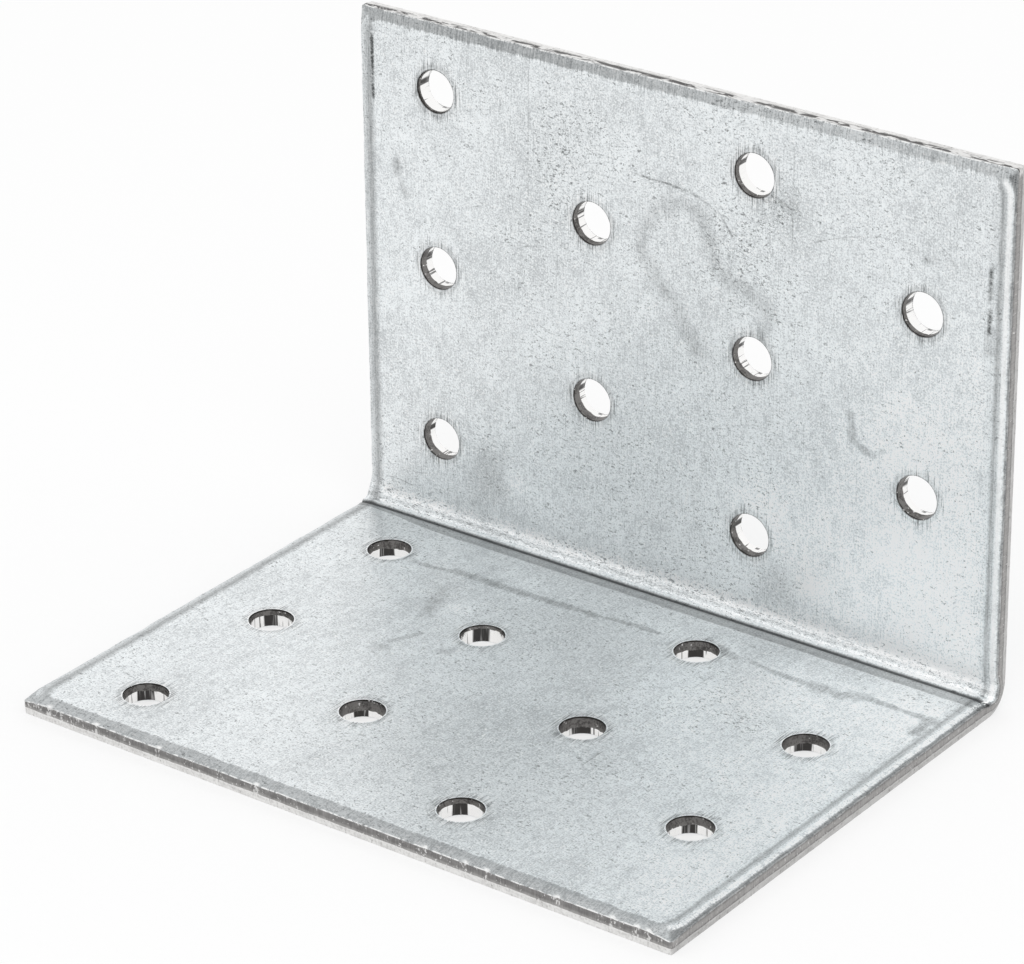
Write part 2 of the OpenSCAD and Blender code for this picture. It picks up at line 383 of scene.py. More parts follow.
# Marks on the inner face: kind, half width and strength, and a path of (x, s) places, in millimetres
STAIN, SCRATCH, BRIGHT = range(3)
MARKS = (
    (STAIN, 1.5, 0.6, ((3.2, 31), (2, 33), (0.4, 35.5), (-1.7, 37.6), (-3, 38.9), (-3.8, 40.8),
                         (-3.6, 42.6), (-2.6, 44.4), (-1, 45.7), (0.9, 46.5), (3, 46.2), (4.3, 44.8),
                         (4.8, 42.6), (5.5, 40.6), (6.7, 39.5), (8.4, 39.2), (10.5, 38.5),
                         (12, 37.6), (12.2, 36.4), (11.4, 34.6))),
    (STAIN, 0.5, 0.8, ((-26.4, -9.2), (-23.6, -9.2), (-21.1, -8.5))),
    (STAIN, 0.72, 1.0, ((-21.1, -8.4), (-18, -8.3), (-14, -8.5), (-10.4, -8.3), (-3.1, -8))),
    (STAIN, 0.45, 0.9, ((-3.1, -8), (1.4, -7.5), (4.6, -7.5))),
    (STAIN, 0.5, 0.95, ((16, -7.2), (19.6, -7.7), (23.1, -7.7))),
    (STAIN, 1.0, 0.9, ((23.1, -7.8), (26.6, -7.8), (29.4, -6.9))),
    (STAIN, 0.55, 1.1, ((29.4, -6.9), (32.9, -6.9), (36.3, -6.9))),
    (STAIN, 1.0, 1.1, ((37.4, -7.0), (37.4, -10.2))),
    (STAIN, 0.7, 0.9, ((11.4, -6.4), (13.9, -7.4))),
    (STAIN, 0.6, 0.8, ((22, 28.5), (22.3, 25.8), (24.6, 24.8), (25.8, 25.7))),
    (STAIN, 0.7, 0.9, ((-35.3, 42.6), (-35.2, 41.4))),
    (STAIN, 0.5, 0.6, ((-35.2, 41.4), (-34.2, 38.9))),
    (STAIN, 1.3, 0.3, ((12.2, 49.4), (14.4, 49.7))),
    # Painted shade: a soft dark streak down the foot, drawn as a stain, with painted highlights beside it
    # among the broad areas
    (STAIN, 1.3, 0.45, ((-19.5, -12.8), (-17.6, -18.3))),
    (SCRATCH, 0.16, 0.6, ((14.1, 51.3), (14.9, 51.6), (15.6, 50.8), (15.4, 49.8), (14.4, 49.5),
                          (14.2, 50.4), (14.9, 50.7))),
    (SCRATCH, 0.2, 0.6, ((12.1, 50), (13.2, 49.6), (14.2, 49.2), (15.7, 49))),
    (SCRATCH, 0.16, 0.5, ((10.6, 48.4), (11.6, 47.4), (12.6, 48.2), (13.2, 47.3))),
    (STAIN, 0.5, 0.45, ((30.1, 47.4), (31.5, 47.6))),
    (STAIN, 0.9, 0.6, ((37.7, 41.7), (37.5, 39.6))),
    (STAIN, 0.5, 0.6, ((-17.1, -25.1), (-15.4, -21.7))),
    (STAIN, 0.9, 0.6, ((-17.4, -26.9), (-16.6, -26.4))),
    (STAIN, 0.8, 0.6, ((-11, -23.8), (-10.6, -23.2))),
    (SCRATCH, 0.1, 0.55, ((-17.9, 58), (-18.1, 41.6))),
    (SCRATCH, 0.09, 0.65, ((14.7, 55.2), (14.65, 49.9))),
    (SCRATCH, 0.12, 0.85, ((14.65, 49), (14.6, 44.3))),
    (SCRATCH, 0.18, 1.0, ((-5, 48.5), (-2.8, 48.3), (-0.6, 48.3))),
    (SCRATCH, 0.24, 0.75, ((-0.6, 48.3), (2.2, 48), (4, 47.4), (6, 46.4), (7.6, 44.2))),
    (SCRATCH, 0.1, 0.7, ((-37.8, 5.2), (-35.6, 5.1), (-33.8, 4.9))),
    (SCRATCH, 0.12, 0.5, ((-35.2, 6.9), (-33.6, 6.6), (-31.9, 6.9))),
    (SCRATCH, 0.1, 0.75, ((14.3, -25.2), (14.4, -21.9))),
    (SCRATCH, 0.1, 0.75, ((14.4, -34.4), (14.4, -30.8))),
    (SCRATCH, 0.1, 0.6, ((14.2, -15.4), (14.3, -11.5))),
    (SCRATCH, 0.12, 0.6, ((-31.1, -4.7), (-28.7, -4.7))),
    (SCRATCH, 0.1, 0.5, ((-34.6, -6.6), (-32.2, -6.8))),
    (SCRATCH, 0.1, 0.7, ((16.4, 45.8), (18.4, 46.7))),
    (SCRATCH, 0.1, 0.45, ((18.4, 46.7), (21.4, 47.8), (24.9, 48.6), (27.8, 48.8), (29.3, 48.6))),
    (SCRATCH, 0.1, 0.5, ((31.5, 49.5), (33, 48.6), (33.6, 47.4), (33.8, 46.3))),
    (SCRATCH, 0.17, 0.9, ((30.1, 47.8), (30.4, 47.4))),
    (SCRATCH, 0.25, 1.4, ((37.6, 48.2), (37.6, 44.9))),
    (SCRATCH, 0.2, 1.3, ((37.6, 44), (37.6, 41.5))),
    (SCRATCH, 0.17, 0.9, ((6.3, -23.9), (6.6, -23.9))),
    (SCRATCH, 0.15, 0.9, ((18.6, -31.6), (18.8, -31.7))),
    (SCRATCH, 0.15, 0.9, ((24, -37.7), (24.3, -37.7))),
    (SCRATCH, 0.15, 0.8, ((30, 9), (30.2, 9))),
    (SCRATCH, 0.15, 0.9, ((-30.5, 2.9), (-30.3, 2.9))),
    (SCRATCH, 0.14, 0.8, ((-23.7, 55.9), (-23.7, 55.2))),
    (SCRATCH, 0.34, 2.4, ((-38.3, 56), (-38.3, 51.8))),
    (SCRATCH, 0.3, 1.6, ((-38.3, 51.8), (-38.3, 49.3))),
    (BRIGHT, 0.12, 1.0, ((-1, 21), (-0.9, 20.1))),
    (BRIGHT, 0.12, 1.0, ((-0.2, 21.3), (0.3, 20))),
    (BRIGHT, 0.14, 1.0, ((1, 17.9), (1.5, 16.7))),
    (BRIGHT, 0.14, 1.0, ((2.2, 14.9), (2.3, 14.2), (1.8, 12.9))),
    (BRIGHT, 0.2, 1.0, ((0.9, 11.9), (0.8, 11.4))),
    (BRIGHT, 0.12, 1.0, ((0, 10.4), (-0.3, 10))),
    (BRIGHT, 0.13, 0.9, ((29.7, 57.9), (32.2, 58))),
)

# Broad areas of the inner face, as (x, s, reach, how much lighter, how many more flecks). How much lighter
# is partly the zinc's own tone and partly painted light and shade: the right-hand parts painted lighter,
# and painted dark blotches with painted highlights beside them where shallow dents are
AREAS = (
    (-5, -12, 16, -0.15, 0.0),
    (4, -37, 24, -0.14, 0.0),
    (36, -8, 20, 0.19, 0.0),
    (38, -34, 22, 0.16, -0.2),
    (20, -12, 12, 0.06, 0.3),
    (23, -19, 7, -0.03, 0.5),
    (16, -33, 6, -0.05, 0.3),
    (32, 12, 24, 0.20, -0.2),
    (20, 10, 14, 0.08, -0.2),
    (28, 34, 22, 0.07, -0.1),
    (28, 22, 20, 0.09, -0.1),
    (11, 14, 9, 0.15, 0.0),
    (36, 36, 14, 0.06, 0.0),
    (29, 16, 7, 0.09, 0.0),
    (4, 31, 4, -0.10, 0.0),
    (21, -8, 7, 0.11, 0.0),
    (11, -50, 10, -0.11, 0.0),
    (28, -34, 8, -0.08, 0.0),
    (-28, -50, 9, -0.08, 0.0),
    (20, -24, 18, 0.10, 0.0),
    (37, -50, 14, 0.12, 0.0),
    (8, 43, 9, -0.01, 0.7),
    (13.5, 48.5, 4.5, -0.06, 1.1),
    (-15, 48, 8, -0.05, 0.55),
    (-17, 40, 8, -0.02, 0.5),
    (-11, 54, 6, -0.03, 0.4),
    (-20, 34, 8, 0.0, 0.4),
    (-35, 40, 16, 0.04, -0.4),
    (-34, 24, 14, 0.03, -0.5),
    # A shallow dent's painted reflection: a dark blotch, then a painted highlight beside it
    (-23, 10, 5, -0.22, 0.2),
    (-20.4, 9.4, 2.8, 0.28, -0.6),
    # A shallow dent's painted reflection: a dark blotch, then a painted highlight beside it
    (13, 7.6, 4.5, -0.18, 0.0),
    (17.8, 8, 2.5, 0.2, -0.5),
    # A painted dark blotch on the foot, with painted highlights beside it
    (-18.2, -16.2, 3.6, -0.16, 0.0),
    (-15.6, -15, 3.2, 0.12, 0.0),
    (-16, -15.5, 2.6, 0.16, 0.0),
    (-8, 17, 13, -0.09, 0.0),
    (-33, -5, 8, -0.10, 0.0),
    (-27, -36, 16, 0.03, -0.1),
)

# Small chips along the foot's front edge, where bright zinc has smeared down
CHIPS = (-36.5, -30.2, -22.0, -9.5, 11.3, 16.1, 18.6, 26.9, 33.2, 36.0, 37.3)
CHIP_REACH = 0.45


def path_distance(x, s, path):
    """Distance of places from a path of straight stretches."""
    nearest = np.full(len(x), np.inf)
    for (x0, s0), (x1, s1) in zip(path, path[1:]):
        run_x, run_s = x1 - x0, s1 - s0
        share = ((x - x0) * run_x + (s - s0) * run_s) / (run_x**2 + run_s**2)
        share = np.clip(share, 0, 1)
        nearest = np.minimum(nearest, np.hypot(x - x0 - share * run_x, s - s0 - share * run_s))
    return nearest


def mark_weights(x, s):
    """How strongly stains, dark scratches and bright scratches show at each place."""
    weights = np.zeros((len(x), 3))
    for kind, half, strength, path in MARKS:
        distance = path_distance(x, s, path)
        near = distance < 2 * half
        if kind == STAIN:
            distance[near] += 0.45 * half * ripple(x[near], s[near], 1.4, 5.5)
            shown = smooth(distance, half, 0.4 * half if half < 1.2 else 0.0)
        else:
            shown = smooth(distance, half, 0.0)
            shown[near] *= 0.5 + 0.5 * smooth(ripple(x[near], s[near], 1.1, 2.5), -0.3, 0.2)
        weights[:, kind] = np.maximum(weights[:, kind], strength * shown)
    return weights


def area_weights(x, s):
    """How much lighter each place is, partly in the zinc's own tone and partly as painted light and shade,
    and how many more flecks it has.
    """
    weights = np.zeros((len(x), 2))
    for centre_x, centre_s, reach, lighter, flecked in AREAS:
        shown = smooth(np.hypot(x - centre_x, s - centre_s), reach, 0.0)
        weights += shown[:, None] * (lighter, flecked)
    return weights


def chip_weights(x, s):
    """How near places by the front edge are to one of its chips."""
    gaps = np.abs(x[:, None] - np.array(CHIPS)).min(1)
    return smooth(gaps, CHIP_REACH, 0.1) * (s < -50)


def mark_places():
    """Rows of places along each mark, for the mesh to show it."""
    places = []
    for kind, half, _, path in MARKS:
        rows = STAIN_ROWS if kind == STAIN else SCRATCH_ROWS
        for first, last in zip(path, path[1:]):
            first, last = np.array(first, float), np.array(last, float)
            length = np.hypot(*(last - first))
            ahead = (last - first) / length
            across = np.array((-ahead[1], ahead[0]))
            for along in spaced(-half, length + half, MARK_STEP):
                places.extend(first + along * ahead + row * half * across for row in rows)
    kept = {tuple(np.round(place / 0.05).astype(int)): place for place in places}
    return np.array(list(kept.values()))


class SheetMesh:
    """Points and faces of the sheet while it is still flat."""

    def __init__(self):
        self.points = []
        self.faces = []
        self.finishes = []
        self.count = 0

    def add_points(self, x, s, n):
        """Keeps these points and returns their numbers."""
        self.points.append(np.column_stack((x, s, n)))
        first = self.count
        self.count += len(x)
        return np.arange(first, self.count)

    def add_strip(self, ring, other, finish):
        """Joins two closed rings of as many points by faces, and returns the second one."""
        ahead, other_ahead = np.roll(ring, -1), np.roll(other, -1)
        self.faces.extend(np.column_stack((ring, ahead, other_ahead, other)).tolist())
        self.finishes.extend([finish] * len(ring))
        return other

    def add_triangles(self, triangles, numbers):
        """Adds a face of the sheet from its triangles."""
        self.faces.extend(numbers[triangles].tolist())
        self.finishes.extend([FACE] * len(triangles))


def across_bend(sheet):
    """Rows of points across the sheet, close together in the bend."""
    bend = np.linspace(0, sheet.bend_run, BEND_ROWS + 1)
    above = [sheet.bend_run + row for row in ABOVE_BEND_ROWS]
    return np.concatenate((CREASE_ROWS, bend, above))


class Outline:
    """Columns of points round the sheet's outline, as shares of its half sizes."""

    def __init__(self, sheet):
        rows = across_bend(sheet)
        foot = spaced(sheet.start, rows[0], EDGE_STEP)
        upright = spaced(rows[-1], sheet.end, EDGE_STEP)
        runs = close_at_ends(np.concatenate((foot[:-1], rows, upright[1:])))
        runs = (runs - sheet.middle) / sheet.half_run
        across = close_at_ends(spaced(-sheet.half_width, sheet.half_width, EDGE_STEP))
        across = across / sheet.half_width
        ones = np.ones(len(runs) - 1)
        flat = np.ones(len(across) - 1)
        self.sheet = sheet
        self.u = np.concatenate((across[:-1], ones, across[:0:-1], -ones))
        self.v = np.concatenate((-flat, runs[:-1], flat, runs[:0:-1]))
        self.on_side = np.abs(self.u) > 1 - 1e-9
        self.out_x = np.sign(self.u) * self.on_side
        self.out_s = np.sign(self.v) * (np.abs(self.v) > 1 - 1e-9)
        self.x, self.s = self.row(0)

    def row(self, inset, drawn_in=0.0):
        """The outline moved in from the edge, and drawn in by a share of its nicks."""
        wide, long = self.sheet.half_width - inset, self.sheet.half_run - inset
        x, s = self.u * wide, self.sheet.middle + self.v * long
        radius = CORNER_RADIUS - inset
        if radius > 0:
            along = np.where(self.on_side, long * (1 - np.abs(self.v)), wide * (1 - np.abs(self.u)))
            turn = np.clip(1 - along / radius, 0, 1) * math.pi / 4
            across_gap, along_gap = radius * (1 - np.cos(turn)), radius * (1 - np.sin(turn))
            turned = turn > 0
            side_gap = np.where(self.on_side, across_gap, along_gap)
            end_gap = np.where(self.on_side, along_gap, across_gap)
            x = np.where(turned, np.sign(self.u) * (wide - side_gap), x)
            s = np.where(turned, self.sheet.middle + np.sign(self.v) * (long - end_gap), s)
        if np.any(drawn_in):
            x = x - self.out_x * drawn_in
            s = s - self.out_s * drawn_in
        return x, s


def close_at_ends(places):
    """Adds a few places close to both ends of a row, for a rounded corner."""
    gaps = np.array(CORNER_GAPS)
    return np.unique(np.concatenate((places, places[0] + gaps, places[-1] - gaps)))


def spaced(start, stop, step):
    """Evenly spaced values from start to stop, about a step apart."""
    return np.linspace(start, stop, max(2, round((stop - start) / step) + 1))


def add_edges(mesh, sheet, outline):
    """The rolled shoulder, the sheared zone and the torn zone all round the sheet.
    Returns the rings where the inner face and the outer face go on."""
    along = outline.x, outline.s
    nicks = 0.06 * smooth(ripple(*along, 1.1, 4.4), 0.2, 0.55)
    nicks += 0.012 * (1 + ripple(*along, 0.45, 9.3))
    nicks += 0.07 * chip_weights(*along)
    rings = []
    for inset in SHOULDER_ROWS:
        x, s = outline.row(inset, nicks * smooth(inset, 1.2, 0.0))
        flat_x, flat_s = outline.row(inset)
        rings.append(mesh.add_points(x, s, sheet.inner_depth(flat_x, flat_s)))
    for upper, lower in zip(rings, rings[1:]):
        mesh.add_strip(upper, lower, FACE)
    ridge = sheet.inner_depth(*along) + 0.03
    tear = sheet.tear_line + 0.05 * ripple(*along, 2.2, 7.7) + 0.04 * ripple(*along, 0.5, 2.8)
    bottom = sheet.outer_depth(*along)
    last = rings[-1]
    for share in SHEARED_SHARES:
        rub = 0.006 * ripple(outline.x, outline.s + 40 * share, 0.6, 1.2)
        x, s = outline.row(0, nicks * (1 - 0.6 * share) + 0.006 + rub)
        ring = mesh.add_points(x, s, ridge + share * (tear - ridge))
        last = mesh.add_strip(last, ring, FACE if share == 0 else SHEARED)
    for share in TORN_SHARES:
        rough = 0.035 * (1 + ripple(outline.x + 9 * share, outline.s, 0.42, 3.3))
        back = 0.02 + sheet.edge_tear_back * share + rough * (1 - 0.5 * share)
        ring = mesh.add_points(*outline.row(0, back), tear + share * (bottom - tear))
        last = mesh.add_strip(last, ring, TORN)
    for inset in UNDERSIDE_ROWS:
        x, s = outline.row(inset)
        last = mesh.add_strip(last, mesh.add_points(x, s, sheet.outer_depth(x, s)), FACE)
    return rings[0], last


def add_hole(mesh, sheet, centre, number):
    """One punched hole: lip, torn zone, polished land and drawn-in rim.
    Returns the rings where the inner face and the outer face go on."""
    seed = 3.7 * number
    turn = np.arange(HOLE_POINTS) * 2 * math.pi / HOLE_POINTS
    cos, sin = np.cos(turn), np.sin(turn)
    bumps = [ripple(cos * size, sin * size, 1, seed + size) for size in (1.2, 4, 11)]
    height = sheet.hole_tear * TEAR_SHARES[number % len(TEAR_SHARES)]
    tear = height * (1 + 0.16 * bumps[0] + 0.12 * bumps[1] + 0.07 * bumps[2])
    flutes = 0.012 * bumps[1] + 0.006 * bumps[2]

    def circle(radius):
        """Places round the hole's centre."""
        return centre[0] + radius * cos, centre[1] + radius * sin

    rings = []
    for reach in HOLE_RINGS[:-1]:
        x, s = circle(sheet.land_radius + reach)
        rings.append(mesh.add_points(x, s, sheet.inner_depth(x, s)))
    rim = sheet.land_radius + sheet.hole_flare
    rim_depth = sheet.inner_depth(*circle(rim))
    rings.append(mesh.add_points(*circle(rim + 0.015 + 0.012 * bumps[2]), rim_depth))
    for upper, lower in zip(rings, rings[1:]):
        mesh.add_strip(upper, lower, FACE)
    last = rings[-1]
    for share in RAGGED_SHARES:
        rough = 0.02 * ripple(cos * 9 + share, sin * 9, 1, seed + 7 * share)
        places = circle(rim - sheet.hole_flare * share + rough)
        ring = mesh.add_points(*places, rim_depth + share * (tear - rim_depth))
        last = mesh.add_strip(last, ring, RAGGED)
    drawn_in = sheet.thickness - sheet.rim_depth
    for share in LAND_SHARES:
        places = circle(sheet.land_radius + flutes * min(1, 0.3 + share))
        ring = mesh.add_points(*places, tear + share * (drawn_in - tear))
        last = mesh.add_strip(last, ring, RAGGED if share == 0 else LAND)
    centre_depth = sheet.thickness - sheet.rim_radius
    first = math.asin((drawn_in - centre_depth) / sheet.rim_radius)
    for share in RIM_SHARES:
        angle = first + share * (math.pi / 2 - first)
        x, s = circle(sheet.land_radius + sheet.rim_width - sheet.rim_radius * math.cos(angle))
        drop = sheet.rim_radius * (1 - math.sin(angle))
        ring = mesh.add_points(x, s, sheet.outer_depth(x, s) - drop)
        last = mesh.add_strip(last, ring, LAND if share == RIM_SHARES[0] else FACE)
    for reach in HOLE_UNDER_RINGS:
        x, s = circle(sheet.land_radius + reach)
        last = mesh.add_strip(last, mesh.add_points(x, s, sheet.outer_depth(x, s)), FACE)
    return rings[0], last


def inside_points(sheet):
    """Places on the faces between the shoulders and the holes' rings."""
    inset = SHOULDER_ROWS[0]
    rows = across_bend(sheet)
    reach = sheet.half_width - inset
    wide = spaced(-reach, reach, FACE_STEP)[1:-1]
    close = spaced(-reach, reach, BEND_STEP)[1:-1]
    foot = spaced(sheet.start + inset, rows[0], FACE_STEP)[1:-1]
    upright = spaced(rows[-1], sheet.end - inset, FACE_STEP)[1:-1]
    places = []
    for band, across in ((foot, wide), (rows, close), (upright, wide)):
        places.extend((x, row) for row in band for x in across)
    places = np.array(places)
    marks = mark_places()
    gaps = np.hypot(places[:, None, 0] - marks[:, 0], places[:, None, 1] - marks[:, 1])
    places = np.concatenate((places[gaps.min(1) > MARK_CLEARANCE], marks))
    x, s = places.T
    clear = sheet.hole_distance(x, s) > HOLE_RINGS[0] + FACE_STEP / 3
    return places[clear & (sheet.rim_distance(x, s) > inset + FACE_STEP / 4)]


def triangulate(loops, places):
    """Triangles between an outer loop, the hole loops and the places inside."""
    corners, edges, owner = [], [], []
    for number, loop in enumerate(loops):
        first = len(corners)
        count = len(loop)
        corners.extend(map(Vector, loop))
        edges.extend((first + k, first + (k + 1) % count) for k in range(count))
        owner.extend([number] * count)
    corners.extend(map(Vector, places))
    owner.extend([0] * len(places))
    found = geometry.delaunay_2d_cdt(corners, edges, [], 0, 1e-6)
    sources = [origin[0] for origin in found[3]]
    triangles = []
    for face in found[2]:
        triangle = [sources[k] for k in face]
        owners = {owner[k] for k in triangle}
        if len(owners) > 1 or owners == {0}:
            triangles.append(triangle)
    return np.array(triangles)


def build_sheet(sheet):
    """The sheet, still flat, as one closed mesh with its surfaces told apart."""
    mesh = SheetMesh()
    pairs = [add_edges(mesh, sheet, Outline(sheet))]
    pairs += [add_hole(mesh, sheet, centre, number) for number, centre in enumerate(sheet.holes)]
    inner, outer = zip(*pairs)
    flat = np.concatenate(mesh.points)
    places = inside_points(sheet)
    triangles = triangulate([flat[ring][:, :2] for ring in inner], places)
    x, s = places.T
    inside = mesh.add_points(x, s, sheet.inner_depth(x, s))
    mesh.add_triangles(triangles, np.concatenate((*inner, inside)))
    inside = mesh.add_points(x, s, sheet.outer_depth(x, s))
    mesh.add_triangles(triangles[:, ::-1], np.concatenate((*outer, inside)))
    return mesh


def make_object(sheet, mesh, name):
    """Folds the flat mesh, and keeps the flat places on it for its materials."""
    flat = np.concatenate(mesh.points)
    x, s, n = flat.T
    data = bpy.data.meshes.new(name)
    data.from_pydata(sheet.place(x, s, n).tolist(), [], mesh.faces)
    data.polygons.foreach_set("material_index", mesh.finishes)
    data.polygons.foreach_set("use_smooth", [True] * len(mesh.faces))
    edge = sheet.edge_distance(x, s)
    hole = sheet.hole_distance(x, s)
    side_gap, end_gap = sheet.gaps(x, s)
    side = np.sign(x) * smooth(end_gap - side_gap, -0.4, 0.4)
    reach = np.column_stack((edge, hole, side))
    marks = mark_weights(x, s)
    rim = sheet.rim_distance(x, s)
    marks[:, BRIGHT] = np.maximum(marks[:, BRIGHT], chip_weights(x, s) * smooth(rim, 0.5, 0.2))
    marks *= (n < sheet.tear_line)[:, None]
    rim_tone_flecks_and_painted_light = np.column_stack((rim, area_weights(x, s)))
    around = np.column_stack((*sheet.hole_offset(x, s), hole)) / sheet.land_radius
    layers = {"sheet": flat, "reach": reach, "marks": marks, "rim_tone_flecks_and_painted_light": rim_tone_flecks_and_painted_light, "around": around}
    for title, values in layers.items():
        layer = data.attributes.new(title, "FLOAT_VECTOR", "POINT")
        layer.data.foreach_set("vector", values.astype(np.float32).ravel())
    shape = bmesh.new()
    shape.from_mesh(data)
    bmesh.ops.recalc_face_normals(shape, faces=shape.faces)
    shape.to_mesh(data)
    shape.free()
    data.set_sharp_from_angle(angle=SHARP_ANGLE)
    data.validate()
    return put_in_scene(name, data)


def put_in_scene(name, data):
    """A new object in the scene, with this name and data."""
    thing = bpy.data.objects.new(name, data)
    bpy.context.scene.collection.objects.link(thing)
    return thing


class Nodes:
    """The nodes of a material or of the world, added one at a time."""

    def __init__(self, owner):
        owner.use_nodes = True
        self.tree = owner.node_tree
        self.tree.nodes.clear()

    def add(self, kind, values=None, **settings):
        """Adds a node, with these settings and values or links."""
        node = self.tree.nodes.new(kind)
        for key, value in settings.items():
            setattr(node, key, value)
        for key, value in (values or {}).items():
            self.feed(node.inputs[key], value)
        return node

    def feed(self, socket, value):
        """Links a socket to another one, or sets its value, with full alpha on a colour."""
        if isinstance(value, bpy.types.NodeSocket):
            self.tree.links.new(value, socket)
        else:
            socket.default_value = (*value, 1.0) if socket.type == "RGBA" else value

    def math(self, operation, first, second=0.0, third=0.0):
        """One sum on numbers."""
        values = {0: first, 1: second, 2: third}
        return self.add("ShaderNodeMath", values, operation=operation).outputs[0]

    def plus(self, total, *others):
        """Adds numbers up, from the left."""
        for other in others:
            total = self.math("ADD", total, other)
        return total

    def times(self, product, *others):
        """Multiplies numbers, from the left."""
        for other in others:
            product = self.math("MULTIPLY", product, other)
        return product

    def seen_or_mirrored(self):
        """1 for what the camera sees, also in a mirror or through glass, and else 0."""
        path = self.add("ShaderNodeLightPath").outputs
        seen = path["Is Camera Ray"]
        for kind in ("Is Glossy Ray", "Is Transmission Ray"):
            seen = self.math("MAXIMUM", seen, path[kind])
        return seen

    def show(self, kind, share, first, second):
        """Ends the nodes in an output that goes from one shader to another by a share."""
        both = self.add("ShaderNodeMixShader", {0: share, 1: first.outputs[0], 2: second.outputs[0]})
        self.add(kind, {"Surface": both.outputs[0]})


class Finish(Nodes):
    """One material of the sheet, on the sheet's own places."""

    def __init__(self, name):
        self.material = bpy.data.materials.new(name)
        super().__init__(self.material)
        self.sheet, (self.x, self.s, self.n) = self.layer("sheet")
        _, (self.edge, self.hole, self.side) = self.layer("reach")
        _, (self.stain, self.scratch, self.bright) = self.layer("marks")
        _, (self.rim, self.lighter, self.flecked) = self.layer("rim_tone_flecks_and_painted_light")
        _, (self.around_x, self.around_s, _) = self.layer("around")

    def layer(self, title):
        """One of the mesh's layers of values, whole and in its three parts."""
        values = self.add("ShaderNodeAttribute", attribute_name=title).outputs["Vector"]
        return values, self.add("ShaderNodeSeparateXYZ", {"Vector": values}).outputs

    def ramp(self, value, start, stop, low=0.0, high=1.0):
        """Goes smoothly from low at start to high at stop."""
        values = {"Value": value, "From Min": start, "From Max": stop, "To Min": low, "To Max": high}
        node = self.add("ShaderNodeMapRange", values, interpolation_type="SMOOTHSTEP")
        return node.outputs["Result"]

    def mix(self, share, first, second):
        """Goes from one colour to another by a share."""
        return self.add("ShaderNodeMix", {0: share, 6: first, 7: second}, data_type="RGBA").outputs[2]

    def blend(self, share, first, second):
        """Goes from one number to another by a share."""
        return self.add("ShaderNodeMix", {0: share, 2: first, 3: second}, data_type="FLOAT").outputs[0]

    def clamped(self, value):
        """Keeps a number between 0 and 1."""
        return self.add("ShaderNodeClamp", {"Value": value}).outputs[0]

    def scale(self, colour, factor):
        """Makes a colour lighter or darker."""
        return self.add("ShaderNodeVectorMath", {0: colour, "Scale": factor}, operation="SCALE").outputs[0]

    def about(self, value, size, middle=0.0):
        """Noise brought to swing about a middle by a size."""
        return self.math("MULTIPLY_ADD", value, size, middle - size / 2)

    def levels(self, value, span, stops):
        """Goes through (place, level) stops, with places from 0 to span and levels under 2."""
        node = self.add("ShaderNodeValToRGB", {"Fac": self.math("DIVIDE", value, span)})
        elements = node.color_ramp.elements
        elements.remove(elements[1])
        elements[0].position = stops[0][0] / span
        for place, _ in stops[1:]:
            elements.new(place / span)
        for element, (_, level) in zip(elements, stops):
            element.color = (level / 2, level / 2, level / 2, 1)
        return self.times(node.outputs["Color"], 2.0)

    def between(self, value, start, stop, soft=0.05):
        """1 for values from start to stop, with soft ends, and else 0."""
        rise = self.ramp(value, start - soft, start + soft)
        return self.times(rise, self.ramp(value, stop + soft, stop - soft))

    def capped(self, colour):
        """Keeps a colour below pure white."""
        node = self.add("ShaderNodeVectorMath", {0: colour, 1: BRIGHTEST}, operation="MINIMUM")
        return node.outputs[0]

    def grain(self, per_mm, seed, detail=2.0, distortion=0.0, rough=0.5):
        """Noise on the sheet, with this many bumps to the millimetre each way."""
        moved = self.add("ShaderNodeMapping", {
            "Vector": self.sheet, "Location": (seed, -seed, seed), "Scale": per_mm})
        node = self.add("ShaderNodeTexNoise", {
            "Vector": moved.outputs["Vector"], "Scale": 1.0, "Detail": detail,
            "Roughness": rough, "Distortion": distortion})
        return node.outputs["Fac"]

    def finish(self, colour, roughness, height, depth):
        """Ends the material in its metal surface. Depth is the bump's, in metres."""
        bump = self.add("ShaderNodeBump", {"Strength": 1.0, "Distance": depth, "Height": height})
        surface = self.add("ShaderNodeBsdfPrincipled", {
            "Base Color": colour, "Metallic": 1.0, "Roughness": roughness,
            "Normal": bump.outputs["Normal"]})
        self.add("ShaderNodeOutputMaterial", {"Surface": surface.outputs[0]})
        return self.material


# The palest colour of the zinc, and the depth of each surface's grain in metres
BRIGHTEST = (0.98, 0.98, 0.98)
FACE_GRAIN = 0.000006
SHEARED_GRAIN = 0.000006
TORN_GRAIN = 0.000018
LAND_GRAIN = 0.000005
RAGGED_GRAIN = 0.000012

# Lightness across the shoulders, as (distance from the edge, share of the face's). The sides' bands are
# painted light and shade of the rolled edge: on the right a painted highlight from 0.3 to 0.85 mm in, with
# painted shade inside it, and on the left a painted darker band about 1.2 mm in
END_SHOULDER = ((0.0, 0.60), (1.35, 0.60), (1.58, 1.0))
LEFT_SHOULDER = ((0.0, 0.66), (0.15, 0.88), (0.5, 0.82), (1.0, 0.60), (1.25, 0.52), (1.6, 0.74),
                 (2.0, 1.0))
RIGHT_SHOULDER = ((0.0, 0.30), (0.15, 0.40), (0.32, 0.92), (0.7, 1.08), (0.85, 0.92), (1.05, 0.72),
                  (1.4, 0.53), (1.6, 0.74), (1.8, 0.92), (3.0, 1.0))

